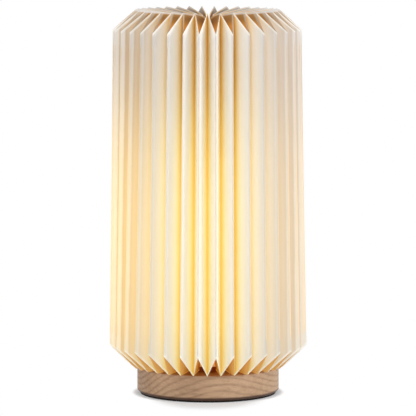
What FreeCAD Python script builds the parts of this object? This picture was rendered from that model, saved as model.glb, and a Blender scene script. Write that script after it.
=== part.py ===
import FreeCAD, Part
import math
import os
from FreeCAD import Vector

# Pleated paper table lamp, cordless, on a turned wooden base.
# Millimetres, +Z up. The origin is under the middle of the foot, on the table.
# The front looks along -Y and has a valley fold in its middle. The charging socket is at the back.

# ---- Driving dimensions ----
lamp_height = 300.0

# Turned base, its foot pad and the cover that closes it from below
base_radius = 55.4
wood_thickness = 19.5
base_bevel = 1.6
base_top_round = 0.6
base_roof = 5.0
recess_radius = 40.5
rear_pocket_wall = 4.8
rear_pocket_half_width = 24.0
foot_thickness = 1.5
foot_inset = 2.4
cover_thickness = 2.0
cover_radius = 51.5
cover_gap = 0.2

# Ballast and battery
ballast_thickness = 3.0
ballast_gap = 1.0
battery_length = 44.0
battery_width = 30.0
battery_thickness = 7.0
battery_middle_y = -16.0
battery_round = 2.0
foam_margin = 3.0

# Control board and what stands on it
board_thickness = 1.6
board_half_width = 17.0
board_front_y = 6.0
board_rim_gap = 3.1
board_screw_x = 13.5
board_screw_near_y = 10.0
board_screw_far_y = 30.0
spacer_height = 2.0
spacer_radius = 2.6
plug_length = 5.0
plug_width = 6.0
plug_height = 3.0
battery_plug_x = -9.0
charger_x = 4.0
charger_y = 33.0
charger_side = 4.0
charger_height = 1.0
driver_x = 1.0
driver_y = 18.0
driver_length = 6.0
driver_width = 5.0
driver_height = 1.4
coil_x = -7.0
coil_y = 26.0
coil_radius = 2.6
coil_height = 3.0

# Charging socket and its bezel
socket_width = 8.94
socket_height = 3.26
socket_wall = 0.3
socket_length = 9.8
socket_sunk = 0.8
socket_back_wall = 1.0
tongue_width = 6.7
tongue_thickness = 0.7
tongue_sunk = 0.8
tongue_block_length = 2.2
bezel_width = 14.0
bezel_height = 7.0
bezel_sunk = 0.3

# Power button, its switch and the charge light
button_angle = 17.0
button_radius = 3.2
button_flange_radius = 4.0
button_flange_thickness = 1.2
button_proud = 0.9
button_round = 0.4
button_travel = 0.8
switch_length = 5.5
switch_width = 6.0
switch_front_gap = 3.0
plunger_radius = 1.5
plunger_depth = 1.5
light_angle = -17.0
light_radius = 1.2
light_sunk = 0.1

# Light core: flange, post, lamp boards and diffuser
flange_radius = 29.0
flange_thickness = 3.0
spigot_height = 4.0
spigot_wall = 3.2
core_screw_circle = 25.6
post_side = 16.0
post_head_gap = 3.0
link_board_radius = 16.0
link_board_thickness = 1.2
strip_width = 10.0
strip_thickness = 1.0
strip_end_gap = 4.0
chip_side = 3.0
chip_thickness = 0.7
chips_per_strip = 9
diffuser_radius = 22.0
diffuser_wall = 1.6
diffuser_height = 126.0
cap_thickness = 2.0
cap_depth = 5.0
cap_round = 1.2
lead_radius = 0.65
lead_half_pitch = 1.5
led_lead_y = 11.5
wire_hole_radius = 3.2
centre_hole_radius = 5.0

# Shade: one pleated sheet of paper, turned inward at both ends on zigzag creases, and its collar.
# A crease slope is the rise of the zigzag over the depth of a pleat.
pleat_count = 35
ridge_radius = 77.4
valley_radius = 58.8
top_draw_in = 3.2
paper_thickness = 0.4
top_crease_slope = 0.833333
bottom_crease_slope = 0.924731
top_hole_radius = 15.0
collar_seat_gap = 0.2
collar_glue_gap = 0.1
collar_floor = 2.0
collar_wall = 0.8
collar_height = 4.0
collar_width = 6.6
collar_flange_gap = 1.0

# Magnets that seat the shade
magnet_count = 4
magnet_inset = 3.2
magnet_radius = 2.5
magnet_thickness = 2.0

# Fasteners
cover_screw_radius = 1.5
cover_screw_length = 9.0
cover_head_radius = 2.9
cover_head_height = 1.2
cover_screw_count = 4
board_screw_radius = 1.0
board_head_radius = 1.9
board_head_height = 1.2
board_screw_bite = 2.0
core_screw_radius = 1.4
core_screw_bite = 4.0
core_head_radius = 2.6
core_head_height = 1.6
core_screw_count = 3
post_screw_radius = 2.0
post_screw_bite = 10.0
post_head_radius = 3.6
post_head_height = 3.0

# Clearances
hole_gap = 0.05
slide_gap = 0.3
fit_gap = 0.1

# ---- Levels and places that follow ----
wood_bottom = foot_thickness
base_top = wood_bottom + wood_thickness
cover_top = wood_bottom + cover_thickness
recess_top = base_top - base_roof
pocket_radius = base_radius - rear_pocket_wall
ballast_top = cover_top + ballast_thickness
battery_top = ballast_top + battery_thickness
battery_back_y = battery_middle_y + battery_width / 2
board_bottom = ballast_top + spacer_height
board_top = board_bottom + board_thickness
board_radius = pocket_radius - board_rim_gap
socket_z = board_top + socket_height / 2
socket_front = base_radius - socket_sunk
socket_back = socket_front - socket_length
flange_top = base_top + flange_thickness
link_top = flange_top + link_board_thickness
diffuser_bore = diffuser_radius - diffuser_wall
diffuser_top = flange_top + diffuser_height
post_top = diffuser_top - cap_depth - post_head_gap
strip_top = post_top - strip_end_gap
cover_screw_circle = (recess_radius + cover_radius) / 2
flange_inner_face = pocket_radius - fit_gap - slide_gap - button_flange_thickness
switch_front = flange_inner_face - switch_front_gap
collar_bottom = base_top + collar_seat_gap
collar_bore_radius = flange_radius + collar_flange_gap
collar_radius = collar_bore_radius + collar_width
magnet_circle = collar_bore_radius + magnet_inset
top_valley_radius = valley_radius - top_draw_in
pleat_depth = ridge_radius - valley_radius
top_crease_drop = pleat_depth * top_crease_slope
bottom_crease_rise = pleat_depth * bottom_crease_slope
half_step = math.pi / pleat_count

UP = Vector(0, 0, 1)
flatness = 1e-6
BACK = Vector(0, 1, 0)


def cylinder(radius, bottom, top, x=0.0, y=0.0):
    return Part.makeCylinder(radius, top - bottom, Vector(x, y, bottom), UP)


def ring(outer, inner, bottom, top):
    return cylinder(outer, bottom, top).cut(cylinder(inner, bottom, top))


def box(x0, x1, y0, y1, z0, z1):
    return Part.makeBox(x1 - x0, y1 - y0, z1 - z0, Vector(x0, y0, z0))


def rod(radius, start_y, end_y, x, z):
    """A round rod along Y."""
    return Part.makeCylinder(radius, end_y - start_y, Vector(x, start_y, z), BACK)


def slot_prism(width, height, start_y, end_y, middle_z):
    """A bar along Y whose section is a slot with round ends."""
    half = width / 2 - height / 2
    low = middle_z - height / 2
    high = middle_z + height / 2
    corners = [
        Vector(-half, start_y, low),
        Vector(half, start_y, low),
        Vector(half, start_y, high),
        Vector(-half, start_y, high),
    ]
    right = Vector(half + height / 2, start_y, middle_z)
    left = Vector(-half - height / 2, start_y, middle_z)
    edges = [
        Part.LineSegment(corners[0], corners[1]).toShape(),
        Part.Arc(corners[1], right, corners[2]).toShape(),
        Part.LineSegment(corners[2], corners[3]).toShape(),
        Part.Arc(corners[3], left, corners[0]).toShape(),
    ]
    return Part.Face(Part.Wire(edges)).extrude(Vector(0, end_y - start_y, 0))


def turned(shape, degrees):
    """The shape turned about the lamp's axis, clockwise as seen from above."""
    copy = shape.copy()
    copy.rotate(Vector(0, 0, 0), UP, -degrees)
    return copy


def circle_places(radius, count, first_degrees):
    step = 360.0 / count
    angles = [math.radians(first_degrees + step * i) for i in range(count)]
    return [(radius * math.cos(a), radius * math.sin(a)) for a in angles]


def rim_edges(shape, radius, height):
    """The round edges of a given radius at a given height, centred on the lamp's axis."""
    found = []
    for edge in shape.Edges:
        curve = edge.Curve
        if not isinstance(curve, Part.Circle):
            continue
        on_axis = math.hypot(curve.Center.x, curve.Center.y) < 1e-6
        if on_axis and abs(curve.Radius - radius) < 1e-6 and abs(curve.Center.z - height) < 1e-6:
            found.append(edge)
    return found


# ---- Base ----
def cover_places():
    return circle_places(cover_screw_circle, cover_screw_count, 45)


def core_places():
    return circle_places(core_screw_circle, core_screw_count, 30)


def magnet_places():
    return circle_places(magnet_circle, magnet_count, 45)


def recess():
    """The space inside the base for the works, with a pocket at the back that reaches near the rim."""
    round_part = cylinder(recess_radius, cover_top, recess_top)
    pocket = cylinder(pocket_radius, cover_top, recess_top)
    pocket = pocket.common(box(-rear_pocket_half_width, rear_pocket_half_width,
                               board_front_y, base_radius, cover_top, recess_top))
    return round_part.fuse(pocket)


def wood_base():
    disc = cylinder(base_radius, wood_bottom, base_top)
    disc = disc.makeChamfer(base_bevel, rim_edges(disc, base_radius, wood_bottom))
    disc = disc.makeFillet(base_top_round, rim_edges(disc, base_radius, base_top))
    cuts = [recess(), cylinder(cover_radius + cover_gap, wood_bottom, cover_top)]
    cuts.append(cylinder(centre_hole_radius, recess_top, base_top))
    cuts.append(cylinder(wire_hole_radius, recess_top, base_top, 0, led_lead_y))
    outside = base_radius + button_proud
    inside = pocket_radius - rear_pocket_wall / 4
    cuts.append(slot_prism(bezel_width + 2 * fit_gap, bezel_height + 2 * fit_gap, inside, outside, socket_z))
    cuts.append(turned(rod(button_radius + slide_gap, inside, outside, 0, socket_z), button_angle))
    cuts.append(turned(rod(light_radius + fit_gap, inside, outside, 0, socket_z), light_angle))
    for x, y in cover_places():
        bite = wood_bottom + cover_screw_length + hole_gap
        cuts.append(cylinder(cover_screw_radius + hole_gap, cover_top, bite, x, y))
    for x, y in core_places():
        hole_bottom = base_top - core_screw_bite - hole_gap
        cuts.append(cylinder(core_screw_radius + hole_gap, hole_bottom, base_top, x, y))
    for x, y in magnet_places():
        cuts.append(cylinder(magnet_radius + hole_gap, base_top - magnet_thickness, base_top, x, y))
    return disc.cut(cuts)


def foot_pad():
    return cylinder(base_radius - foot_inset, 0, foot_thickness)


def base_cover():
    plate = cylinder(cover_radius, wood_bottom, cover_top)
    cuts = []
    for x, y in cover_places():
        cuts.append(cylinder(cover_screw_radius + hole_gap, wood_bottom, cover_top, x, y))
        head_top = wood_bottom + cover_head_height
        cuts.append(cylinder(cover_head_radius + fit_gap, wood_bottom, head_top, x, y))
    return plate.cut(cuts)


def cover_screws():
    screws = []
    for x, y in cover_places():
        head = cylinder(cover_head_radius, wood_bottom, wood_bottom + cover_head_height, x, y)
        shank = cylinder(cover_screw_radius, wood_bottom, wood_bottom + cover_screw_length, x, y)
        screws.append(head.fuse(shank).removeSplitter())
    return screws


# ---- Ballast and battery ----
def board_screw_places():
    rows = (board_screw_near_y, board_screw_far_y)
    return [(side * board_screw_x, y) for side in (-1, 1) for y in rows]


def ballast_plate():
    plate = cylinder(recess_radius - ballast_gap, cover_top, ballast_top)
    hole_bottom = ballast_top - board_screw_bite - hole_gap
    holes = [cylinder(board_screw_radius + hole_gap, hole_bottom, ballast_top, x, y)
             for x, y in board_screw_places()]
    return plate.cut(holes)


def battery_block(margin, bottom, top):
    half = battery_length / 2 - margin
    front = battery_middle_y - battery_width / 2 + margin
    return box(-half, half, front, battery_back_y - margin, bottom, top)


def battery_pack():
    block = battery_block(0, ballast_top, battery_top)
    upright = [e for e in block.Edges if abs(e.tangentAt(e.FirstParameter).z) > 0.9]
    return block.makeFillet(battery_round, upright)


def battery_foam():
    return battery_block(foam_margin, battery_top, recess_top)


def plug_box(middle_x, front_y):
    return box(middle_x - plug_width / 2, middle_x + plug_width / 2,
               front_y, front_y + plug_length, board_top, board_top + plug_height)


def battery_plug():
    return plug_box(battery_plug_x, board_front_y + plug_length + board_thickness)


def battery_leads():
    end_y = board_front_y + plug_length + board_thickness
    z = board_top + plug_height / 2
    return [rod(lead_radius, battery_back_y, end_y, battery_plug_x + side * lead_half_pitch, z)
            for side in (-1, 1)]


# ---- Control board ----
def control_board():
    plate = box(-board_half_width, board_half_width, board_front_y, base_radius, board_bottom, board_top)
    plate = plate.common(cylinder(board_radius, board_bottom, board_top))
    holes = [cylinder(board_screw_radius + hole_gap, board_bottom, board_top, x, y)
             for x, y in board_screw_places()]
    return plate.cut(holes)


def board_spacers():
    return [cylinder(spacer_radius, ballast_top, board_bottom, x, y).cut(
        cylinder(board_screw_radius + hole_gap, ballast_top, board_bottom, x, y))
        for x, y in board_screw_places()]


def board_screws():
    screws = []
    for x, y in board_screw_places():
        shank = cylinder(board_screw_radius, ballast_top - board_screw_bite, board_top, x, y)
        head = cylinder(board_head_radius, board_top, board_top + board_head_height, x, y)
        screws.append(head.fuse(shank))
    return screws


def board_chips():
    """The charger, the lamp driver, a coil and the charge light's own small lamp."""
    charger = box(charger_x, charger_x + charger_side, charger_y, charger_y + charger_side,
                  board_top, board_top + charger_height)
    driver = box(driver_x, driver_x + driver_length, driver_y, driver_y + driver_width,
                 board_top, board_top + driver_height)
    coil = cylinder(coil_radius, board_top, board_top + coil_height, coil_x, coil_y)
    light_end = switch_front
    lamp = box(-light_radius, light_radius, light_end - 2 * light_radius, light_end, board_top,
               socket_z + light_radius)
    return [charger, driver, coil, turned(lamp, light_angle)]


def usb_shell():
    outer = slot_prism(socket_width, socket_height, socket_back, socket_front, socket_z)
    bore_width = socket_width - 2 * socket_wall
    bore_height = socket_height - 2 * socket_wall
    bore = slot_prism(bore_width, bore_height, socket_back + socket_back_wall, socket_front, socket_z)
    return outer.cut(bore)


def usb_tongue():
    start = socket_back + socket_back_wall
    block_width = socket_width - 2 * socket_wall - 2 * hole_gap
    block_height = socket_height - 2 * socket_wall - 2 * hole_gap
    block = slot_prism(block_width, block_height, start, start + tongue_block_length, socket_z)
    blade = box(-tongue_width / 2, tongue_width / 2, start, socket_front - tongue_sunk,
                socket_z - tongue_thickness / 2, socket_z + tongue_thickness / 2)
    return block.fuse(blade)


def port_bezel():
    plate = slot_prism(bezel_width, bezel_height, pocket_radius, base_radius, socket_z)
    plate = plate.common(cylinder(base_radius - bezel_sunk, wood_bottom, base_top))
    return plate.cut(slot_prism(socket_width + 2 * fit_gap, socket_height + 2 * fit_gap,
                                pocket_radius, base_radius, socket_z))


def tact_switch():
    body = box(-switch_width / 2, switch_width / 2, switch_front - switch_length, switch_front,
               board_top, board_top + socket_height)
    bore_start = switch_front - plunger_depth - 2 * button_travel
    body = body.cut(rod(plunger_radius + slide_gap / 2, bore_start, switch_front, 0, socket_z)
                    .common(box(-switch_width, switch_width, bore_start, switch_front,
                                board_top, board_top + socket_height)))
    return turned(body, button_angle)


def switch_plunger():
    plunger = rod(plunger_radius, switch_front - plunger_depth, flange_inner_face, 0, socket_z)
    return turned(plunger, button_angle)


def button_cap():
    end = base_radius + button_proud
    flange_face = flange_inner_face + button_flange_thickness
    stem = rod(button_radius, flange_face, end, 0, socket_z)
    round_edges = [e for e in stem.Edges if isinstance(e.Curve, Part.Circle)]
    outer = [e for e in round_edges if abs(e.Curve.Center.y - end) < 1e-6]
    stem = stem.makeFillet(button_round, outer)
    flange = rod(button_flange_radius, flange_inner_face, flange_face, 0, socket_z)
    return turned(flange.fuse(stem), button_angle)


def charge_lens():
    guide = rod(light_radius, switch_front + fit_gap, base_radius - light_sunk, 0, socket_z)
    return turned(guide, light_angle)


# ---- Light core ----
def core_flange():
    plate = cylinder(flange_radius, base_top, flange_top)
    spigot_radius = diffuser_bore - fit_gap
    spigot = ring(spigot_radius, spigot_radius - spigot_wall, flange_top, flange_top + spigot_height)
    plate = plate.fuse(spigot)
    cuts = [cylinder(post_screw_radius + hole_gap, base_top, flange_top)]
    cuts.append(cylinder(wire_hole_radius, base_top, flange_top, 0, led_lead_y))
    cuts.extend(cylinder(core_screw_radius + hole_gap, base_top, flange_top, x, y) for x, y in core_places())
    return plate.cut(cuts)


def core_screws():
    screws = []
    for x, y in core_places():
        head = cylinder(core_head_radius, flange_top, flange_top + core_head_height, x, y)
        shank = cylinder(core_screw_radius, base_top - core_screw_bite, flange_top, x, y)
        screws.append(head.fuse(shank))
    return screws


def post_screw():
    head = cylinder(post_head_radius, base_top - post_head_height, base_top)
    return head.fuse(cylinder(post_screw_radius, base_top, flange_top + post_screw_bite))


def led_post():
    half = post_side / 2
    post = box(-half, half, -half, half, flange_top, post_top)
    return post.cut(cylinder(post_screw_radius + hole_gap, flange_top, post_top))


def led_link_board():
    plate = cylinder(link_board_radius, flange_top, link_top)
    half = post_side / 2 + fit_gap
    cuts = [box(-half, half, -half, half, flange_top, link_top)]
    for side in (-1, 1):
        lead_x = side * lead_half_pitch
        cuts.append(cylinder(lead_radius + hole_gap, flange_top, link_top, lead_x, led_lead_y))
    return plate.cut(cuts)


def on_four_faces(shape):
    """The shape, made on the front face of the post, on each of its four faces."""
    return [turned(shape, 90.0 * i) for i in range(4)]


def led_strips():
    face = post_side / 2
    strip = box(-strip_width / 2, strip_width / 2, -face - strip_thickness, -face, link_top, strip_top)
    return on_four_faces(strip)


def led_chips():
    face = post_side / 2 + strip_thickness
    pitch = (strip_top - link_top) / chips_per_strip
    chips = []
    for i in range(chips_per_strip):
        middle = link_top + pitch * (i + 0.5)
        chip = box(-chip_side / 2, chip_side / 2, -face - chip_thickness, -face,
                   middle - chip_side / 2, middle + chip_side / 2)
        chips.extend(on_four_faces(chip))
    return chips


def led_leads():
    return [cylinder(lead_radius, board_top, link_top + lead_radius, side * lead_half_pitch, led_lead_y)
            for side in (-1, 1)]


def diffuser_tube():
    return ring(diffuser_radius, diffuser_bore, flange_top, diffuser_top)


def diffuser_cap():
    plate = cylinder(diffuser_radius, diffuser_top, diffuser_top + cap_thickness)
    plate = plate.makeFillet(cap_round, rim_edges(plate, diffuser_radius, diffuser_top + cap_thickness))
    skirt_radius = diffuser_bore - fit_gap
    skirt = ring(skirt_radius, skirt_radius - diffuser_wall, diffuser_top - cap_depth, diffuser_top)
    return plate.fuse(skirt)


# ---- Shade ----
def fold_scale(z):
    """How far the shade has drawn in at a height, as a share of its width at the foot."""
    top_scale = top_valley_radius / valley_radius
    return 1 - (1 - top_scale) * (z - base_top) / (lamp_height - base_top)


def radial(angle):
    """The outward direction at an angle that counts from the front, where a valley fold lies."""
    return Vector(math.sin(angle), -math.cos(angle), 0)


def on_wall(foot_radius, angle, z):
    return radial(angle) * (foot_radius * fold_scale(z)) + UP * z


def turned_in(angle, crease, other_crease, wall_end):
    """How a fold runs beyond the zigzag crease: its run along the wall, mirrored on the crease."""
    before = (crease - wall_end).normalize()
    step = other_crease - crease
    along = (radial(angle) * step.dot(radial(angle)) + UP * step.z).normalize()
    return along * (2 * before.dot(along)) - before


def folded_ends(valley, ridge, far_valley, far_ridge, stop_radius, crease_step):
    """Where the valley fold and the ridge fold stop inside the lamp, on the sheet's straight edge."""
    valley_run = turned_in(0, valley, ridge, far_valley)
    ridge_run = turned_in(half_step, ridge, valley, far_ridge)
    length = (stop_radius - valley.dot(radial(0))) / valley_run.dot(radial(0))
    return valley + valley_run * length, ridge + ridge_run * (length + crease_step)


def outer_corners():
    """Outer side of the first flap: its valley and ridge folds at four stations.

    The stations are the bottom edge, the bottom crease, the top crease and the top edge.
    """
    low_valley = on_wall(valley_radius, 0, base_top)
    high_valley = on_wall(valley_radius, 0, lamp_height)
    low_ridge = on_wall(ridge_radius, half_step, base_top + bottom_crease_rise)
    high_ridge = on_wall(ridge_radius, half_step, lamp_height - top_crease_drop)
    bottom_valley, bottom_ridge = folded_ends(
        low_valley, low_ridge, high_valley, high_ridge, collar_radius + collar_glue_gap, bottom_crease_rise)
    top_valley, top_ridge = folded_ends(
        high_valley, high_ridge, low_valley, low_ridge, top_hole_radius, top_crease_drop)
    valleys = [bottom_valley, low_valley, high_valley, top_valley]
    ridges = [bottom_ridge, low_ridge, high_ridge, top_ridge]
    return valleys, ridges


def panel_normal(valleys, ridges, panel):
    """The outward normal of one of the flap's three panels."""
    across = ridges[panel] + ridges[panel + 1] - valleys[panel] - valleys[panel + 1]
    along = valleys[panel + 1] + ridges[panel + 1] - valleys[panel] - ridges[panel]
    return across.cross(along).normalize()


def inner_point(outer, angle, normals):
    """The same corner on the sheet's inner side: a thickness inside each panel that meets there."""
    if len(normals) == 1:
        return outer - UP * (paper_thickness / normals[0].z)
    out = radial(angle)
    first, second = normals
    spread = first.dot(out) * second.z - first.z * second.dot(out)
    outward = paper_thickness * (first.z - second.z) / spread
    upward = paper_thickness * (second.dot(out) - first.dot(out)) / spread
    return outer + out * outward + UP * upward


def inner_corners(valleys, ridges):
    normals = [panel_normal(valleys, ridges, panel) for panel in range(3)]
    inner_valleys = []
    inner_ridges = []
    for station in range(4):
        meeting = normals[max(station - 1, 0):station + 1]
        inner_valleys.append(inner_point(valleys[station], 0, meeting))
        inner_ridges.append(inner_point(ridges[station], half_step, meeting))
    return inner_valleys, inner_ridges


def mirrored(point):
    return Vector(-point.x, point.y, point.z)


def spun(point, angle):
    turn = FreeCAD.Rotation(UP, math.degrees(angle))
    return turn.multVec(point)


def patch(a, b, c, d):
    """A face with four corners, or two triangles where the corners don't lie in one plane."""
    off_plane = (b - a).cross(c - a).dot(d - a)
    loops = [(a, b, c, d)] if abs(off_plane) < flatness else [(a, b, c), (a, c, d)]
    return [Part.Face(Part.makePolygon([*loop, loop[0]])) for loop in loops]


def folded_ring(panel):
    """One of the sheet's three rings of flaps: the bottom folds, the wall or the top folds."""
    valleys, ridges = outer_corners()
    inner_valleys, inner_ridges = inner_corners(valleys, ridges)
    low = panel
    high = panel + 1
    quads = [
        (valleys[low], ridges[low], ridges[high], valleys[high]),
        (inner_valleys[low], inner_ridges[low], inner_ridges[high], inner_valleys[high]),
        (valleys[low], ridges[low], inner_ridges[low], inner_valleys[low]),
        (valleys[high], ridges[high], inner_ridges[high], inner_valleys[high]),
    ]
    faces = []
    for pleat in range(pleat_count):
        angle = 2 * half_step * pleat
        for quad in quads:
            faces += patch(*[spun(p, angle) for p in quad])
            faces += patch(*[spun(mirrored(p), angle) for p in quad])
    shell = Part.makeShell(faces)
    shell.sewShape()
    solid = Part.makeSolid(Part.Shell(shell.Faces))
    if solid.Volume < 0:
        solid.reverse()
    return solid


def shade_bottom_folds():
    return folded_ring(0)


def pleated_shade():
    return folded_ring(1)


def shade_top_folds():
    return folded_ring(2)


def shade_collar():
    floor = ring(collar_radius, collar_bore_radius, collar_bottom, collar_bottom + collar_floor)
    wall = ring(collar_radius, collar_radius - collar_wall, collar_bottom, collar_bottom + collar_height)
    holes = [cylinder(magnet_radius + hole_gap, collar_bottom, collar_bottom + collar_floor, x, y)
             for x, y in magnet_places()]
    return floor.fuse(wall).removeSplitter().cut(holes)


def magnets(bottom):
    return [cylinder(magnet_radius, bottom, bottom + magnet_thickness, x, y) for x, y in magnet_places()]


def base_magnets():
    return magnets(base_top - magnet_thickness)


def shade_magnets():
    return magnets(collar_bottom)


NODES = {
    "wood_base": wood_base,
    "foot_pad": foot_pad,
    "base_cover": base_cover,
    "cover_screws": cover_screws,
    "ballast_plate": ballast_plate,
    "battery_pack": battery_pack,
    "battery_foam": battery_foam,
    "battery_plug": battery_plug,
    "battery_leads": battery_leads,
    "control_board": control_board,
    "board_spacers": board_spacers,
    "board_screws": board_screws,
    "board_chips": board_chips,
    "usb_shell": usb_shell,
    "usb_tongue": usb_tongue,
    "port_bezel": port_bezel,
    "tact_switch": tact_switch,
    "switch_plunger": switch_plunger,
    "button_cap": button_cap,
    "charge_lens": charge_lens,
    "base_magnets": base_magnets,
    "core_flange": core_flange,
    "core_screws": core_screws,
    "post_screw": post_screw,
    "led_post": led_post,
    "led_link_board": led_link_board,
    "led_strips": led_strips,
    "led_chips": led_chips,
    "led_leads": led_leads,
    "diffuser_tube": diffuser_tube,
    "diffuser_cap": diffuser_cap,
    "pleated_shade": pleated_shade,
    "shade_top_folds": shade_top_folds,
    "shade_bottom_folds": shade_bottom_folds,
    "shade_collar": shade_collar,
    "shade_magnets": shade_magnets,
}

os.makedirs("parts", exist_ok=True)
for name, make in NODES.items():
    made = make()
    solids = made if isinstance(made, list) else [made]
    whole = solids[0] if len(solids) == 1 else Part.makeCompound(solids)
    whole.exportStep(f"parts/{name}.step")
    count = len(whole.Solids)
    print(f"{name}: {count} solid(s), {whole.Volume / 1000:.2f} cm3, valid {whole.isValid()}")
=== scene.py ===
import math
import random
import bmesh
import bpy
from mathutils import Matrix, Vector


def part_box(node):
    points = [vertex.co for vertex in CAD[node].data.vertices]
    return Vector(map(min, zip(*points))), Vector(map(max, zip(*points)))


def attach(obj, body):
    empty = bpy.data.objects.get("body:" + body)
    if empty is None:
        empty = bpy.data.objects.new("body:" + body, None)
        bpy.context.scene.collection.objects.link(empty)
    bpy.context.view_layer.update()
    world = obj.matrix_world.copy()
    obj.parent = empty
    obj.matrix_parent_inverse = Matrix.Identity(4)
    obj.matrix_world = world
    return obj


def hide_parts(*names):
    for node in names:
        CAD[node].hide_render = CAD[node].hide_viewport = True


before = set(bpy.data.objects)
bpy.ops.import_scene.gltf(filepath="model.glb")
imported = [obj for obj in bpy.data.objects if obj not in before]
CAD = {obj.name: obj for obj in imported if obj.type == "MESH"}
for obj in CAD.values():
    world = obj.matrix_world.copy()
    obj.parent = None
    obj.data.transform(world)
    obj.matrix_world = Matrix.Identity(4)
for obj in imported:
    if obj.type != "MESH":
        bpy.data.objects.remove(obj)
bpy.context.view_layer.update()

MM = 0.001

# ---- Sizes of the paper, in metres ----
FOOT_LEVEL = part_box("wood_base")[1].z
LAMP_TOP = 300.0 * MM
PLEATS = 35
HALF_STEP = math.pi / PLEATS
RIDGE_RADIUS = 77.4 * MM
VALLEY_RADIUS = 58.8 * MM
TOP_VALLEY_RADIUS = 55.6 * MM
PLEAT_DEPTH = RIDGE_RADIUS - VALLEY_RADIUS
PAPER = 0.4 * MM
TOP_DROP = 15.5 * MM
BOTTOM_RISE = 17.2 * MM
TOP_HOLE_RADIUS = 15.0 * MM
BOTTOM_HOLE_RADIUS = 36.7 * MM
# How far the tip of each fold is blunted, at the middle of the wall.
FOLD_ROUND = 0.16 * MM
# The share of its radius that the wall loses for each metre that it rises.
DRAW_IN = (1 - TOP_VALLEY_RADIUS / VALLEY_RADIUS) / (LAMP_TOP - FOOT_LEVEL)
# The fall of the top's upper folds as they run in, and the run-out of the crease, both per length.
TOP_FOLD_FALL = 0.11
CREASE_RUN = PLEAT_DEPTH / TOP_DROP

# ---- The camera, fitted to the photograph ----
CAMERA_DISTANCE = 2.751
CAMERA_HEIGHT = 0.4375
CAMERA_PITCH = math.radians(6.07)
CAMERA_LENS = 306.9
SENSOR = 36.0


def from_screen(red, green, blue):
    """A colour as it is seen on a screen, 0 to 255, in the linear values that shaders take."""
    linear = []
    for part in (red, green, blue):
        share = part / 255
        linear.append(share / 12.92 if share <= 0.04045 else ((share + 0.055) / 1.055) ** 2.4)
    return (*linear, 1.0)


# ---- Shader arithmetic ----
class Varying:
    """A number that varies over a surface. Sums, products and the rest add Math nodes."""

    def __init__(self, finish, socket):
        self.finish = finish
        self.socket = socket

    def math(self, operation, *others):
        inputs = [self.socket] + [o.socket if isinstance(o, Varying) else o for o in others]
        node = self.finish.node("ShaderNodeMath", {"operation": operation}, dict(enumerate(inputs)))
        return Varying(self.finish, node.outputs[0])

    def reflected(self, operation, number):
        node = self.finish.node("ShaderNodeMath", {"operation": operation}, {0: number, 1: self.socket})
        return Varying(self.finish, node.outputs[0])

    def __add__(self, other):
        return self.math("ADD", other)

    def __radd__(self, number):
        return self.reflected("ADD", number)

    def __sub__(self, other):
        return self.math("SUBTRACT", other)

    def __rsub__(self, number):
        return self.reflected("SUBTRACT", number)

    def __mul__(self, other):
        return self.math("MULTIPLY", other)

    def __rmul__(self, number):
        return self.reflected("MULTIPLY", number)

    def __truediv__(self, other):
        return self.math("DIVIDE", other)

    def __pow__(self, other):
        return self.math("POWER", other)

    def clamped(self):
        return self.math("MAXIMUM", 0.0).math("MINIMUM", 1.0)

    def between(self, low, high):
        """0 at low and below, 1 at high and above, smooth on the way."""
        node = self.finish.node("ShaderNodeMapRange", {"interpolation_type": "SMOOTHSTEP"},
                                {"Value": self.socket, "From Min": low, "From Max": high})
        return Varying(self.finish, node.outputs[0])


class Graph:
    """The node tree of a material or of the world, and short calls for the nodes in it."""

    def __init__(self, owner):
        owner.use_nodes = True
        self.tree = owner.node_tree
        self.tree.nodes.clear()

    def node(self, kind, settings=None, sockets=None):
        made = self.tree.nodes.new(kind)
        for name, value in (settings or {}).items():
            if name == "stops":
                self.set_stops(made.color_ramp, value)
            else:
                setattr(made, name, value)
        for key, value in (sockets or {}).items():
            value = value.socket if isinstance(value, Varying) else value
            if isinstance(value, bpy.types.NodeSocket):
                self.tree.links.new(value, made.inputs[key])
            else:
                made.inputs[key].default_value = value
        return made

    @staticmethod
    def set_stops(ramp, stops):
        for place, _ in stops[2:]:
            ramp.elements.new(place)
        for element, (place, colour) in zip(ramp.elements, sorted(stops, key=lambda s: s[0])):
            element.position = place
            element.color = colour

    def place(self):
        return self.node("ShaderNodeTexCoord").outputs["Object"]

    def split(self, vector):
        node = self.node("ShaderNodeSeparateXYZ", {}, {0: vector})
        return [Varying(self, out) for out in node.outputs]

    def vector_math(self, operation, sockets):
        return self.node("ShaderNodeVectorMath", {"operation": operation}, sockets).outputs[0]

    def stretched(self, vector, scales):
        return self.vector_math("MULTIPLY", {0: vector, 1: scales})

    def scaled(self, colour, amount):
        return self.vector_math("SCALE", {0: colour, "Scale": amount})

    def noise(self, vector, scale, detail=3.0, roughness=0.5, distortion=0.0):
        sockets = {"Vector": vector, "Scale": scale, "Detail": detail, "Roughness": roughness}
        sockets["Distortion"] = distortion
        return Varying(self, self.node("ShaderNodeTexNoise", {}, sockets).outputs["Fac"])

    def ramp(self, value, stops):
        return self.node("ShaderNodeValToRGB", {"stops": stops}, {0: value}).outputs[0]

    def mix(self, factor, first, second, blend="MIX"):
        settings = {"data_type": "RGBA", "blend_type": blend}
        return self.node("ShaderNodeMix", settings, {0: factor, 6: first, 7: second}).outputs[2]

    def bump(self, height, strength, distance):
        sockets = {"Height": height, "Strength": strength, "Distance": distance}
        return self.node("ShaderNodeBump", {}, sockets).outputs[0]

    def mixed_shader(self, factor, first, second):
        return self.node("ShaderNodeMixShader", {}, {0: factor, 1: first, 2: second}).outputs[0]

    def seen_directly(self):
        """1 for what the camera sees straight, in a mirror or through glass."""
        ray = self.node("ShaderNodeLightPath")
        names = ("Is Camera Ray", "Is Glossy Ray", "Is Transmission Ray")
        straight, mirrored, through = [Varying(self, ray.outputs[name]) for name in names]
        return straight.math("MAXIMUM", mirrored).math("MAXIMUM", through)


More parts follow.
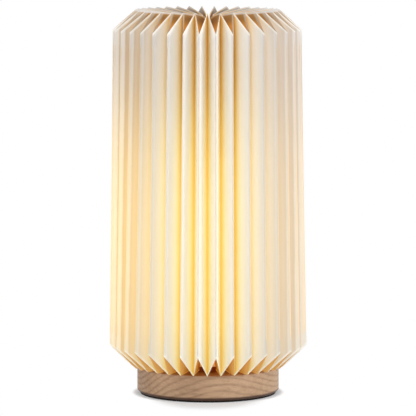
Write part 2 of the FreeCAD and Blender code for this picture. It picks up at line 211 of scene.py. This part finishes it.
class Finish(Graph):
    """A material with one Principled shader."""

    SOCKETS = {
        "colour": "Base Color",
        "roughness": "Roughness",
        "glow": "Emission Color",
        "normal": "Normal",
    }

    def __init__(self, name, **constants):
        self.material = bpy.data.materials.new(name)
        super().__init__(self.material)
        self.output = self.node("ShaderNodeOutputMaterial")
        self.shader = self.node("ShaderNodeBsdfPrincipled", {}, constants)
        self.tree.links.new(self.shader.outputs[0], self.output.inputs["Surface"])

    def set(self, **links):
        for key, value in links.items():
            value = value.socket if isinstance(value, Varying) else value
            self.tree.links.new(value, self.shader.inputs[self.SOCKETS[key]])


# ---- Paper ----
PAPER_GRAIN = 0.08 * MM
# The paper's glow from its foot to its top: share of its height, and level.
GLOW_LEVELS = (
    (0.0, 0.64),
    (0.09, 0.79),
    (0.15, 0.90),
    (0.27, 0.98),
    (0.38, 1.0),
    (0.48, 0.96),
    (0.60, 0.81),
    (0.71, 0.52),
    (0.79, 0.31),
    (0.87, 0.17),
    (1.0, 0.10),
)


def from_axis(x, y):
    """Distance from the lamp's axis."""
    return (x * x + y * y) ** 0.5


def wall_scale(z):
    """The wall's radius at a height, as a share of its radius at the foot."""
    return 1 - DRAW_IN * (z - FOOT_LEVEL)


def fold_depth(reach, z):
    """0 on the valley folds of the wall, 1 on its ridge folds."""
    return ((reach / wall_scale(z) - VALLEY_RADIUS) / PLEAT_DEPTH).clamped()


def grey(level):
    return (level, level, level, 1.0)


def glow_level(finish, z):
    """How brightly the paper glows at a height, from the light core inside it."""
    share = (z - FOOT_LEVEL) / (LAMP_TOP - FOOT_LEVEL)
    return Varying(finish, finish.ramp(share, [(place, grey(level)) for place, level in GLOW_LEVELS]))


def paper_finish(name, roughness, gloss):
    """A paper that can glow by its Emission Color."""
    constants = {"Roughness": roughness, "Emission Strength": 1.0, "Specular IOR Level": gloss}
    return Finish(name, **constants)


def fibres(finish, place):
    """Soft clouds and fine long fibres, as in uncoated paper held to the light."""
    cloud = finish.noise(place, 55.0, 4.0, 0.6)
    strands = finish.noise(finish.stretched(place, (900.0, 900.0, 160.0)), 1.0, 3.0, 0.65, 0.6)
    return cloud, strands


def paper_grain(finish, cloud, strands):
    """The clouds and fibres as a bumpy surface."""
    return finish.bump(strands + cloud * 0.5, 0.25, PAPER_GRAIN)


def wall_tone(finish, x, depth, cloud, sideways):
    """The wall's colour from valley to ridge, at the front and, with sideways 1, at the left and right:
    painted shade and glow in the valleys, painted shade short of the ridges and painted highlights on
    them.
    """
    uneven = depth + (cloud - 0.5) * 0.05
    # Facing: amber painted shade and glow down the valleys, and painted shade on the very tips of the
    # ridges.
    facing = finish.ramp(uneven, [
        (0.0, (0.76, 0.38, 0.05, 1.0)),
        (0.10, (0.85, 0.54, 0.20, 1.0)),
        (0.22, (0.88, 0.70, 0.45, 1.0)),
        (0.38, (0.91, 0.82, 0.71, 1.0)),
        (0.60, (0.92, 0.88, 0.82, 1.0)),
        (0.84, (0.90, 0.87, 0.83, 1.0)),
        (0.93, (0.73, 0.71, 0.70, 1.0)),
        (1.0, (0.68, 0.66, 0.66, 1.0)),
    ])
    # Beside: amber painted glow in the valleys, painted shade in a tan band short of each ridge, and a
    # painted highlight on the ridge.
    beside = finish.ramp(uneven, [
        (0.0, (0.82, 0.50, 0.18, 1.0)),
        (0.30, (0.84, 0.65, 0.42, 1.0)),
        (0.55, (0.84, 0.67, 0.48, 1.0)),
        (0.68, (0.80, 0.66, 0.50, 1.0)),
        (0.80, (0.72, 0.59, 0.45, 1.0)),
        (0.86, (0.91, 0.88, 0.82, 1.0)),
        (1.0, (0.92, 0.90, 0.86, 1.0)),
    ])
    # Painted light: the flaps are painted paler toward the right, but not the tips of the ridges.
    painted_right_light = x.between(-20 * MM, 50 * MM) * (1 - depth.between(0.82, 0.86)) * 0.5
    beside = finish.mix(painted_right_light, beside, (0.86, 0.81, 0.75, 1.0))
    return finish.mix(sideways, facing, beside)


def wall_glow(finish, depth, sideways):
    """The colour of the light that comes through the wall, from valley to ridge."""
    facing = finish.ramp(depth, [
        (0.0, (0.26, 0.32, 0.09, 1.0)),
        (0.3, (0.19, 0.20, 0.06, 1.0)),
        (0.6, (0.11, 0.095, 0.02, 1.0)),
        (1.0, (0.06, 0.045, 0.01, 1.0)),
    ])
    beside = finish.ramp(depth, [
        (0.1, (0.22, 0.20, 0.06, 1.0)),
        (0.6, (0.32, 0.235, 0.04, 1.0)),
    ])
    return finish.mix(sideways, facing, beside)


def crease_line(depth, z):
    """1 along the zigzag creases at both ends of the wall, 0 away from them."""
    top_gap = ((LAMP_TOP - z) - depth * TOP_DROP).math("ABSOLUTE")
    bottom_gap = ((z - FOOT_LEVEL) - depth * BOTTOM_RISE).math("ABSOLUTE")
    return 1 - top_gap.math("MINIMUM", bottom_gap).between(0.9 * MM, 2.5 * MM)


def paper_outside():
    """The wall of the shade: cream ridges, amber valleys of painted shade and glow, and painted highlights
    as pale lines along the zigzag creases.
    """
    finish = paper_finish("paper_outside", 0.82, 0.25)
    place = finish.place()
    x, y, z = finish.split(place)
    reach = from_axis(x, y)
    depth = fold_depth(reach, z)
    cloud, strands = fibres(finish, place)
    # 0 at the front and the back of the lamp, 1 at its left and right.
    sideways = 1 - (y.math("ABSOLUTE") / reach).between(0.45, 0.97)
    tone = wall_tone(finish, x, depth, cloud, sideways)
    streaks = finish.ramp(strands, [(0.3, (0.78, 0.69, 0.55, 1.0)), (0.7, grey(1.0))])
    mottled = finish.mix(0.10, tone, streaks, "MULTIPLY")
    # Painted shade: the left and right of the wall are painted darker and greyer.
    sides_shaded = finish.mix(sideways * 0.8, mottled, (0.86, 0.83, 0.84, 1.0), "MULTIPLY")
    crease = crease_line(depth, z)
    # Painted highlight: a pale line along the zigzag creases.
    finish.set(colour=finish.mix(crease * 0.9, sides_shaded, (0.96, 0.94, 0.90, 1.0)))
    # The glow is weaker toward the right and along the creases.
    level = glow_level(finish, z) * (0.94 + cloud * 0.12)
    level = level * (1 - x.between(0.0, 70 * MM) * 0.6) * (1 - crease * 0.5)
    glow = finish.scaled(wall_glow(finish, depth, sideways), level)
    finish.set(glow=glow, normal=paper_grain(finish, cloud, strands))
    return finish.material


def top_end(finish, y, z, reach):
    """Colour and glow of the top's folds, all painted light and shade: pale along the upper ones, brown
    painted shade in the troughs and painted amber glow deep in them.
    """
    under = (LAMP_TOP - z) - (TOP_VALLEY_RADIUS - reach) * TOP_FOLD_FALL
    upper_fold = 1 - under.between(0.6 * MM, 1.7 * MM)
    deep = under.between(4 * MM, 12 * MM)
    # Painted shade in the troughs: darker toward the middle, and warmer brown at the front than at the
    # back.
    shade_to_middle = finish.mix(reach.between(30 * MM, 52 * MM), (0.34, 0.26, 0.19, 1.0), (0.44, 0.405, 0.365, 1.0))
    shade_front_to_back = finish.mix(y.between(-20 * MM, 30 * MM), (0.47, 0.26, 0.09, 1.0), shade_to_middle)
    # Painted amber glow deep in the troughs.
    trough = finish.mix(deep, shade_front_to_back, (0.70, 0.41, 0.12, 1.0))
    # A painted highlight, a pale strip, follows the zigzag crease.
    crease_reach = (LAMP_TOP - z) * CREASE_RUN + TOP_VALLEY_RADIUS
    rim = 1 - (crease_reach - reach).between(2.5 * MM, 5.5 * MM)
    trough = finish.mix(rim * 0.75, trough, (0.66, 0.59, 0.49, 1.0))
    # Painted light: the upper folds are pale, as where light falls on them.
    colour = finish.mix(upper_fold, trough, (0.75, 0.735, 0.72, 1.0))
    lit = finish.mix(deep, (0.03, 0.012, 0.0, 1.0), (0.16, 0.068, 0.002, 1.0))
    glow = finish.mix(upper_fold.math("MAXIMUM", rim * 0.8), lit, (0.0, 0.0, 0.0, 1.0))
    return colour, glow


def bottom_end(finish, reach):
    """Colour and glow of the bottom's folds: painted amber glow, and painted red-brown shade near the
    collar.
    """
    shade_near_collar = 1 - reach.between(38 * MM, 50 * MM)
    colour = finish.mix(shade_near_collar, (0.84, 0.57, 0.25, 1.0), (0.62, 0.27, 0.09, 1.0))
    glow = finish.mix(shade_near_collar, (0.15, 0.075, 0.004, 1.0), (0.07, 0.02, 0.0, 1.0))
    return colour, glow


def paper_turned_in():
    """The ends of the sheet, which turn inward at the top and at the bottom."""
    finish = paper_finish("paper_turned_in", 0.85, 0.2)
    place = finish.place()
    x, y, z = finish.split(place)
    cloud, strands = fibres(finish, place)
    reach = from_axis(x, y)
    upper = z.between(LAMP_TOP / 2, LAMP_TOP / 2 + 10 * MM)
    top_colour, top_glow = top_end(finish, y, z, reach)
    bottom_colour, bottom_glow = bottom_end(finish, reach)
    streaks = finish.ramp(strands, [(0.3, (0.80, 0.74, 0.64, 1.0)), (0.7, grey(1.0))])
    colour = finish.mix(0.2, finish.mix(upper, bottom_colour, top_colour), streaks, "MULTIPLY")
    glow = finish.mix(upper, bottom_glow, top_glow)
    finish.set(colour=colour, glow=glow, normal=paper_grain(finish, cloud, strands))
    return finish.material


def paper_inside():
    """The side that faces the light core, its amber colour painted warm light from the core."""
    finish = paper_finish("paper_inside", 0.85, 0.2)
    place = finish.place()
    z = finish.split(place)[2]
    cloud, strands = fibres(finish, place)
    tone = finish.ramp(cloud, [(0.3, (0.74, 0.52, 0.24, 1.0)), (0.7, (0.80, 0.60, 0.32, 1.0))])
    finish.set(colour=tone, normal=paper_grain(finish, cloud, strands))
    finish.set(glow=finish.scaled((0.60, 0.30, 0.05), glow_level(finish, z)))
    return finish.material


def paper_edge():
    """The cut edge of the sheet."""
    finish = Finish("paper_edge", Roughness=0.9)
    strands = finish.noise(finish.place(), 2500.0, 2.0)
    stops = [(0.2, (0.86, 0.80, 0.68, 1.0)), (0.8, (0.97, 0.94, 0.87, 1.0))]
    finish.set(colour=finish.ramp(strands, stops))
    return finish.material


# ---- Wood ----
# The axis that the growth rings circle: its height, how far it is ahead, and its rise to the right.
RING_AXIS_HEIGHT = 58.0 * MM
RING_AXIS_AHEAD = 12.0 * MM
RING_AXIS_RISE = 0.12
# Radians of the ring pattern per metre, which makes a ring 4.2 mm wide, and how far the rings wander.
RING_RATE = 1500.0
RING_SWAY = 11.0 * MM


def growth_rings(finish, place, x, y, z):
    """0 in the pale early wood of a ring, 1 in its dark late wood."""
    sway = finish.noise(finish.stretched(place, (16.0, 16.0, 26.0)), 1.0, 3.0, 0.5)
    above = RING_AXIS_HEIGHT - z + x * RING_AXIS_RISE
    behind = y + RING_AXIS_AHEAD
    heart = (above * above + behind * behind) ** 0.5 + sway * RING_SWAY
    wave = (heart * RING_RATE).math("SINE") * 0.5 + 0.5
    return wave ** 3.0


def walnut():
    """Plain-sawn wood, whose rings arch on the front of the disc, painted a little lighter toward the
    right and with painted shade on the bevel at its foot.
    """
    finish = Finish("walnut_oiled", Roughness=0.5, **{"Specular IOR Level": 0.3})
    place = finish.place()
    x, y, z = finish.split(place)
    late = growth_rings(finish, place, x, y, z)
    fine = finish.noise(finish.stretched(place, (55.0, 420.0, 520.0)), 1.0, 3.0, 0.6)
    pores = finish.noise(finish.stretched(place, (180.0, 1500.0, 1700.0)), 1.0, 2.0, 0.6)
    dark_pores = pores.between(0.58, 0.72)
    drift = finish.noise(place, 22.0, 2.0)
    # The x term paints the wood a little lighter toward the right: painted light.
    body = finish.ramp(drift * 0.5 + fine * 0.42 + (1 - late) * 0.10 + x * 0.5, [
        (0.22, from_screen(127, 98, 76)),
        (0.42, from_screen(163, 131, 103)),
        (0.62, from_screen(189, 156, 125)),
        (0.85, from_screen(205, 173, 142)),
    ])
    veined = finish.mix(dark_pores * 0.35 + late * 0.13, body, from_screen(104, 74, 54))
    # Painted shade on the bevel at the foot, which faces down.
    foot_shade = 1 - z.between(3.0 * MM, 4.5 * MM)
    colour = finish.mix(foot_shade * 0.9, veined, from_screen(70, 42, 28))
    finish.set(colour=colour, roughness=0.48 + late * 0.1 + dark_pores * 0.15)
    finish.set(normal=finish.bump(1 - dark_pores, 0.3, 0.12 * MM))
    return finish.material


# ---- Metals, plastics and small parts ----
def shade_of(colour, factor=1.0):
    """A colour made darker or lighter by a factor, with the fourth value that ramps take."""
    return tuple(min(1.0, part * factor) for part in colour) + (1.0,)


def speckled(name, colour, roughness, spread=0.12, scale=400.0, metallic=0.0, height=0.04 * MM,
             **constants):
    """A plain moulded or cast surface with a fine grain in its colour, gloss and height."""
    finish = Finish(name, Metallic=metallic, **constants)
    grain = finish.noise(finish.place(), scale, 4.0, 0.6)
    stops = [(0.3, shade_of(colour, 1 - spread)), (0.7, shade_of(colour, 1 + spread))]
    finish.set(colour=finish.ramp(grain, stops))
    finish.set(roughness=roughness - 0.08 + grain * 0.16, normal=finish.bump(grain, 0.3, height))
    return finish.material


def turned_metal(name, colour, roughness):
    """Metal with the fine rings that a lathe leaves round the lamp's axis."""
    finish = Finish(name, Metallic=1.0)
    place = finish.place()
    settings = {"wave_type": "RINGS", "rings_direction": "Z"}
    sockets = {"Vector": place, "Scale": 900.0, "Distortion": 0.6, "Detail": 2.0}
    ring = Varying(finish, finish.node("ShaderNodeTexWave", settings, sockets).outputs["Fac"])
    grain = finish.noise(place, 1200.0, 2.0)
    stops = [(0.3, shade_of(colour, 0.82)), (0.7, shade_of(colour))]
    finish.set(colour=finish.ramp(ring * 0.5 + grain * 0.5, stops))
    finish.set(roughness=roughness + ring * 0.1, normal=finish.bump(ring, 0.15, 0.02 * MM))
    return finish.material


def brushed_metal(name, colour, roughness, run):
    """Metal with fine scratches along one direction."""
    finish = Finish(name, Metallic=1.0)
    scratches = finish.noise(finish.stretched(finish.place(), run), 1.0, 3.0, 0.7)
    stops = [(0.3, shade_of(colour, 0.8)), (0.7, shade_of(colour))]
    finish.set(colour=finish.ramp(scratches, stops))
    finish.set(roughness=roughness - 0.06 + scratches * 0.14)
    finish.set(normal=finish.bump(scratches, 0.2, 0.03 * MM))
    return finish.material


def frosted_diffuser():
    """Frosted tube lit from within: brightest level with the lamps, softer at its ends."""
    finish = Finish("frosted_diffuser", Roughness=0.45, **{"Emission Strength": 1.0})
    place = finish.place()
    z = finish.split(place)[2]
    low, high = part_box("led_strips")
    from_below = z.between(low.z + 4 * MM, low.z + 30 * MM)
    to_above = z.between(high.z - 10 * MM, high.z + 12 * MM)
    grain = finish.noise(place, 1800.0, 2.0)
    colour = finish.ramp(grain, [(0.3, (0.44, 0.37, 0.26, 1.0)), (0.7, (0.50, 0.43, 0.32, 1.0))])
    middle = from_below * (1 - to_above)
    warm = finish.mix(middle, (0.34, 0.17, 0.05, 1.0), (0.80, 0.50, 0.20, 1.0))
    finish.set(colour=colour, glow=warm, roughness=0.4 + grain * 0.15)
    finish.set(normal=finish.bump(grain, 0.2, 0.03 * MM))
    return finish.material


def lamp_phosphor():
    """The yellow phosphor on the lamp chips."""
    finish = Finish("lamp_phosphor", Roughness=0.5, **{"Emission Strength": 6.0})
    grain = finish.noise(finish.place(), 3000.0, 2.0)
    finish.set(colour=finish.ramp(grain, [(0.3, (0.95, 0.75, 0.25, 1.0)), (0.7, (1.0, 0.86, 0.42, 1.0))]))
    finish.set(glow=finish.ramp(grain, [(0.3, (1.0, 0.66, 0.30, 1.0)), (0.7, (1.0, 0.74, 0.40, 1.0))]))
    return finish.material


def circuit_board(name, mask, copper):
    """Solder mask over copper tracks, which show as a slightly lighter grid."""
    finish = Finish(name, Roughness=0.35, **{"Coat Weight": 0.3})
    place = finish.place()
    tracks = finish.node("ShaderNodeTexBrick", {"offset": 0.5}, {
        "Vector": place,
        "Scale": 260.0,
        "Mortar Size": 0.035,
        "Mortar Smooth": 0.2,
        "Color1": shade_of(mask),
        "Color2": shade_of(mask, 0.86),
        "Mortar": shade_of(copper),
    })
    bumpy = finish.bump(tracks.outputs["Fac"], 0.2, 0.03 * MM)
    finish.set(colour=tracks.outputs["Color"], normal=bumpy)
    return finish.material


def collar_card():
    """Laminated brown board, with warm light from the core painted into its colour."""
    finish = Finish("collar_card", Roughness=0.8)
    place = finish.place()
    layers = finish.noise(finish.stretched(place, (60.0, 60.0, 2600.0)), 1.0, 3.0, 0.6)
    cloud = finish.noise(place, 140.0, 3.0)
    stops = [(0.3, from_screen(140, 80, 42)), (0.7, from_screen(190, 116, 68))]
    finish.set(colour=finish.ramp(layers * 0.5 + cloud * 0.5, stops))
    finish.set(normal=finish.bump(layers, 0.25, 0.08 * MM))
    return finish.material


def wire_sleeves():
    """The two leads of a pair: red on one side, black on the other."""
    finish = Finish("wire_sleeves", Roughness=0.4, **{"Coat Weight": 0.2})
    place = finish.place()
    x = finish.split(place)[0]
    side = x.between(-0.1 * MM, 0.1 * MM)
    grain = finish.noise(place, 2000.0, 2.0)
    colour = finish.mix(side, (0.55, 0.03, 0.02, 1.0), (0.03, 0.03, 0.03, 1.0))
    finish.set(colour=colour, roughness=0.35 + grain * 0.1, normal=finish.bump(grain, 0.1, 0.02 * MM))
    return finish.material


def foam():
    """Dark closed cells."""
    finish = Finish("foam_closed_cell", Roughness=0.95)
    cells = finish.node("ShaderNodeTexVoronoi", {}, {"Vector": finish.place(), "Scale": 1400.0})
    cell = Varying(finish, cells.outputs["Distance"])
    finish.set(colour=finish.ramp(cell, [(0.0, (0.16, 0.16, 0.17, 1.0)), (0.7, (0.05, 0.05, 0.055, 1.0))]))
    finish.set(normal=finish.bump(1 - cell, 0.5, 0.2 * MM))
    return finish.material


def dress(names, material):
    """Puts a material on CAD nodes."""
    for name in names:
        node = CAD[name]
        if not node.material_slots:
            node.data.materials.append(material)
        for place in node.material_slots:
            place.material = material


def dress_cad_nodes():
    dress(["wood_base"], walnut())
    rubber = speckled("foot_rubber", (0.018, 0.014, 0.012), 0.9, 0.25, 900.0, height=0.1 * MM,
                      **{"Specular IOR Level": 0.15})
    dress(["foot_pad"], rubber)
    black = speckled("black_moulding", (0.030, 0.030, 0.032), 0.5, 0.2, 700.0)
    dress(["base_cover", "port_bezel", "usb_tongue", "tact_switch"], black)
    white = speckled("white_moulding", (0.80, 0.79, 0.75), 0.45, 0.05, 700.0)
    dress(["battery_plug", "board_spacers", "switch_plunger"], white)
    zinc = turned_metal("zinc_screws", (0.62, 0.62, 0.64), 0.3)
    dress(["cover_screws", "board_screws", "core_screws", "post_screw"], zinc)
    dress(["ballast_plate"], speckled("mill_steel", (0.36, 0.36, 0.38), 0.4, 0.2, 300.0, metallic=1.0))
    dress(["usb_shell"], brushed_metal("socket_steel", (0.72, 0.72, 0.74), 0.25, (2500.0, 60.0, 2500.0)))
    nickel = speckled("nickel_plate", (0.72, 0.70, 0.66), 0.18, 0.06, 500.0, metallic=1.0)
    dress(["base_magnets", "shade_magnets"], nickel)
    dress(["core_flange"], turned_metal("turned_aluminium", (0.80, 0.80, 0.81), 0.28))
    dress(["led_post"], brushed_metal("drawn_aluminium", (0.80, 0.80, 0.81), 0.3, (2500.0, 2500.0, 30.0)))
    dress(["button_cap"], brushed_metal("button_bronze", (0.46, 0.36, 0.27), 0.3, (1500.0, 100.0, 1500.0)))
    foil = speckled("foil_pouch", (0.70, 0.71, 0.73), 0.28, 0.08, 350.0, metallic=0.8, height=0.1 * MM)
    dress(["battery_pack"], foil)
    dress(["battery_foam"], foam())
    dress(["control_board"], circuit_board("green_board", (0.015, 0.16, 0.07), (0.05, 0.30, 0.13)))
    pale = circuit_board("white_board", (0.86, 0.86, 0.83), (0.70, 0.66, 0.55))
    dress(["led_link_board", "led_strips"], pale)
    dress(["board_chips"], speckled("chip_epoxy", (0.045, 0.045, 0.05), 0.45, 0.2, 1500.0))
    dress(["charge_lens"], speckled("lens_clear", (0.75, 0.82, 0.84), 0.12, 0.05, 600.0))
    dress(["battery_leads", "led_leads"], wire_sleeves())
    dress(["led_chips"], lamp_phosphor())
    dress(["diffuser_tube", "diffuser_cap"], frosted_diffuser())
    dress(["shade_collar"], collar_card())


# ---- The pleated sheet ----
# Where the points lie across a flap, as shares of the way from its fold to the next one.
FLAP_SHARES = (0.0, 0.02, 0.2, 0.4, 0.6, 0.8, 0.98)
# Rows of faces in the bottom folds, the wall and the top folds.
PANEL_ROWS = (6, 18, 10)
WALL = 1
FOLD_SEED = 35
# Hand folding: how far each fold may stand from its true place, in degrees or millimetres.
TURN_SPREAD = 0.18
REACH_SPREAD = (-0.2, 0.1)
TOP_EDGE_SPREAD = (-0.9, 0.2)
# How far a flap may bow, in millimetres, which share of that is steady, and how the rest waves.
FLAP_BOW = 0.3
STEADY_BOW = 0.6
WAVE_STARTS = 6.28
WAVE_PER_ROW = 0.55
# Where the folds were gathered a little unevenly by hand: degrees, round which azimuth, over what width.
GATHERS = (
    (-0.5, 0.0, 22.0),
    (1.0, -50.0, 13.0),
    (0.2, 70.0, 20.0),
    (0.4, 140.0, 25.0),
    (-0.5, -120.0, 25.0),
)
TOP_GATHERS = ((1.0, -24.0, 17.0), (2.0, -60.0, 15.0))
BOTTOM_GATHERS = ((-0.4, -15.0, 9.0), (-1.7, -50.0, 14.0))
# How far the left and right of the top stand to the left of where they should.
TOP_LEAN = 0.7 * MM


def gathered(azimuth, gathers):
    """A fold's shift from its true azimuth, from the unevenness of hand folding, in radians."""
    degrees = math.degrees(azimuth)
    shift = 0.0
    for amount, centre, width in gathers:
        apart = (degrees - centre + 180.0) % 360.0 - 180.0
        shift += amount * math.exp(-(apart / width) ** 2)
    return math.radians(shift)


def turned_in(crease, other, wall_end):
    """A fold's direction beyond the zigzag crease: its run along the wall, mirrored on the crease."""
    before = (crease - wall_end).normalized()
    across = other.x * math.cos(HALF_STEP) - crease.x
    along = Vector((across, other.y - crease.y)).normalized()
    return along * (2 * before.dot(along)) - before


def fold_profiles():
    """Radius and height of both kinds of fold at the edges and the creases of the sheet."""
    valley = [Vector((VALLEY_RADIUS, FOOT_LEVEL)), Vector((TOP_VALLEY_RADIUS, LAMP_TOP))]
    ridge = []
    for z in (FOOT_LEVEL + BOTTOM_RISE, LAMP_TOP - TOP_DROP):
        ridge.append(Vector((RIDGE_RADIUS * wall_scale(z), z)))
    ends = []
    bottom_end = (0, 1, BOTTOM_HOLE_RADIUS, BOTTOM_RISE)
    top_end = (1, 0, TOP_HOLE_RADIUS, TOP_DROP)
    for here, there, hole, step in (bottom_end, top_end):
        valley_run = turned_in(valley[here], ridge[here], valley[there])
        ridge_run = turned_in(ridge[here], valley[here], ridge[there])
        length = (hole - valley[here].x) / valley_run.x
        # A ridge is creased a step nearer to the middle of the wall, so it runs in by a step more.
        ends.append((valley[here] + valley_run * length, ridge[here] + ridge_run * (length + step)))
    valleys = [ends[0][0], valley[0], valley[1], ends[1][0]]
    ridges = [ends[0][1], ridge[0], ridge[1], ends[1][1]]
    return valleys, ridges


def fold_stations(chance):
    """Every fold's four stations in space, each a little off its true place."""
    profiles = fold_profiles()
    folds = []
    for i in range(2 * PLEATS):
        profile = profiles[i % 2]
        azimuth = i * HALF_STEP
        azimuth += gathered(azimuth, GATHERS)
        stations = []
        for station, (radius, z) in enumerate(profile):
            shift = gathered(azimuth, BOTTOM_GATHERS if station < 2 else TOP_GATHERS)
            turn = azimuth + shift + math.radians(chance.uniform(-TURN_SPREAD, TURN_SPREAD))
            reach = radius + chance.uniform(*REACH_SPREAD) * MM
            lift = chance.uniform(*TOP_EDGE_SPREAD) * MM if station == 3 else 0.0
            x = reach * math.sin(turn)
            if station > 1:
                x -= TOP_LEAN * (x / RIDGE_RADIUS) ** 2
            stations.append(Vector((x, -reach * math.cos(turn), z + lift)))
        folds.append(stations)
    return folds


def bowed(start, end, share, step, row, bow, sway):
    """How far a point of the wall stands off the straight line between its two folds."""
    across = Vector((end.y - start.y, start.x - end.x, 0)).normalized()
    wave = STEADY_BOW + (1 - STEADY_BOW) * math.sin(row * WAVE_PER_ROW + sway)
    return across * (bow * math.sin(math.pi * step) * wave) * math.sin(math.pi * share)


def blunted(point, step, fold_sign):
    """How far a fold's tip moves to be a little round: valleys outward, ridges inward."""
    outward = Vector((point.x, point.y, 0)).normalized()
    return outward * fold_sign * FOLD_ROUND * math.sin(math.pi * step)


def flap_column(fold, after, share, bow, sway, fold_sign):
    """One line of points up a flap, from the bottom edge of the sheet to its top edge."""
    column = []
    for panel, rows in enumerate(PANEL_ROWS):
        first = 0 if panel == 0 else 1
        for row in range(first, rows + 1):
            step = row / rows
            start = fold[panel].lerp(fold[panel + 1], step)
            end = after[panel].lerp(after[panel + 1], step)
            point = start.lerp(end, share)
            if panel == WALL:
                point += bowed(start, end, share, step, row, bow, sway)
            if panel == WALL and share == 0.0:
                point += blunted(point, step, fold_sign)
            column.append(point)
    return column


def sheet_columns():
    """The lines of points all round the sheet. Each flap bows by its own small amount."""
    chance = random.Random(FOLD_SEED)
    folds = fold_stations(chance)
    columns = []
    for i, fold in enumerate(folds):
        after = folds[(i + 1) % len(folds)]
        bow = chance.uniform(-FLAP_BOW, FLAP_BOW) * MM
        sway = chance.uniform(0.0, WAVE_STARTS)
        fold_sign = 1 if i % 2 == 0 else -1
        for share in FLAP_SHARES:
            columns.append(flap_column(fold, after, share, bow, sway, fold_sign))
    return columns


def sheet_mesh(columns):
    """The sheet's faces: material 0 on the wall, 1 on the ends that turn in."""
    mesh = bmesh.new()
    grid = [[mesh.verts.new(point) for point in column] for column in columns]
    wall_start = PANEL_ROWS[0]
    wall_end = wall_start + PANEL_ROWS[WALL]
    for i, column in enumerate(grid):
        beside = grid[(i + 1) % len(grid)]
        for row in range(len(column) - 1):
            face = mesh.faces.new((column[row], beside[row], beside[row + 1], column[row + 1]))
            face.material_index = 0 if wall_start <= row < wall_end else 1
    data = bpy.data.meshes.new("pleated_sheet")
    mesh.to_mesh(data)
    mesh.free()
    return data


def pleated_sheet():
    """The whole shade as one sheet: its outside, its inside and its cut edges have their own papers."""
    data = sheet_mesh(sheet_columns())
    sheet = bpy.data.objects.new("pleated_sheet", data)
    bpy.context.scene.collection.objects.link(sheet)
    inside = paper_inside()
    edge = paper_edge()
    for material in (paper_outside(), paper_turned_in(), inside, inside, edge, edge):
        data.materials.append(material)
    thick = sheet.modifiers.new("paper_thickness", "SOLIDIFY")
    thick.thickness = PAPER
    thick.offset = -1.0
    thick.material_offset = 2
    thick.material_offset_rim = 4
    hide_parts("pleated_shade", "shade_top_folds", "shade_bottom_folds")
    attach(sheet, "shade")


# ---- Stage, light and camera ----
FLOOR_HALF_WIDTH = 8.0
CLIP_END = 50.0
AMBIENT = 0.36
# Name, azimuth and elevation in degrees, distance and width in metres, power in watts, colour.
SOFTBOXES = (
    ("softbox_left", -62, 18, 2.0, 1.0, 11.5, (1.0, 0.975, 0.94)),
    ("softbox_right", 62, 18, 2.0, 1.0, 19.0, (0.97, 0.985, 1.0)),
    ("softbox_front", 0, 25, 2.2, 1.0, 12.2, (1.0, 1.0, 1.0)),
    ("softbox_top", 0, 80, 2.0, 1.2, 5.0, (1.0, 1.0, 1.0)),
    ("softbox_back", 180, 25, 2.2, 1.2, 13.0, (1.0, 0.99, 0.98)),
)


def stage_material(name, tone):
    """A pale matt floor. The camera and mirrors see it turn to plain white away from the object."""
    finish = Finish(name, Roughness=0.9, **{"Base Color": (*tone, 1.0), "Specular IOR Level": 0.0})
    x, y, z = finish.split(finish.place())
    # Painted shadow: in an oval round a place ahead of the axis, and close round the base, the floor keeps
    # its lit shading, darker than the white, with the real shadow in it.
    ahead = y + 30 * MM
    oval = (x * x * 1.9 + ahead * ahead) ** 0.5
    away = oval.between(40 * MM, 66 * MM) * from_axis(x, y).between(56 * MM, 60.5 * MM)
    white = finish.node("ShaderNodeEmission", {}, {"Color": (1, 1, 1, 1), "Strength": 1.0})
    share = finish.seen_directly() * (0.28 + away * 0.72)
    mixed = finish.mixed_shader(share, finish.shader.outputs[0], white.outputs[0])
    finish.tree.links.new(mixed, finish.output.inputs["Surface"])
    return finish.material


def make_stage():
    half = FLOOR_HALF_WIDTH
    data = bpy.data.meshes.new("floor")
    corners = [(-half, -half, 0), (half, -half, 0), (half, half, 0), (-half, half, 0)]
    data.from_pydata(corners, [], [(0, 1, 2, 3)])
    floor = bpy.data.objects.new("floor", data)
    bpy.context.scene.collection.objects.link(floor)
    data.materials.append(stage_material("floor_white", (0.72, 0.77, 0.83)))


def make_world(ambient):
    """Soft light from all round. The camera and mirrors see plain white."""
    world = bpy.data.worlds.new("studio")
    bpy.context.scene.world = world
    graph = Graph(world)
    white = graph.node("ShaderNodeBackground", {}, {"Color": (1.0, 1.0, 1.0, 1.0), "Strength": 1.0})
    soft = graph.node("ShaderNodeBackground", {}, {"Color": (1.0, 0.985, 0.96, 1.0), "Strength": ambient})
    mixed = graph.mixed_shader(graph.seen_directly(), soft.outputs[0], white.outputs[0])
    graph.node("ShaderNodeOutputWorld", {}, {"Surface": mixed})


def softbox(name, azimuth, elevation, distance, size, power, colour):
    """A square lamp aimed at the middle of the object."""
    light = bpy.data.lights.new(name, "AREA")
    light.shape = "SQUARE"
    light.size = size
    light.energy = power
    light.color = colour
    lamp = bpy.data.objects.new(name, light)
    bpy.context.scene.collection.objects.link(lamp)
    turn = math.radians(azimuth)
    lift = math.radians(elevation)
    away = Vector((math.sin(turn) * math.cos(lift), -math.cos(turn) * math.cos(lift), math.sin(lift)))
    aim = Vector((0, 0, LAMP_TOP / 2))
    lamp.location = aim + away * distance
    lamp.rotation_mode = "QUATERNION"
    lamp.rotation_quaternion = (-away).to_track_quat("-Z", "Y")


def make_camera():
    data = bpy.data.cameras.new("camera")
    data.lens = CAMERA_LENS
    data.sensor_width = SENSOR
    data.clip_end = CLIP_END
    camera = bpy.data.objects.new("camera", data)
    bpy.context.scene.collection.objects.link(camera)
    camera.location = (0, -CAMERA_DISTANCE, CAMERA_HEIGHT)
    camera.rotation_euler = (math.pi / 2 - CAMERA_PITCH, 0, 0)
    bpy.context.scene.camera = camera


bpy.context.scene.view_settings.view_transform = "Standard"
make_camera()
make_world(AMBIENT)
make_stage()
for lamp in SOFTBOXES:
    softbox(*lamp)
dress_cad_nodes()
pleated_sheet()
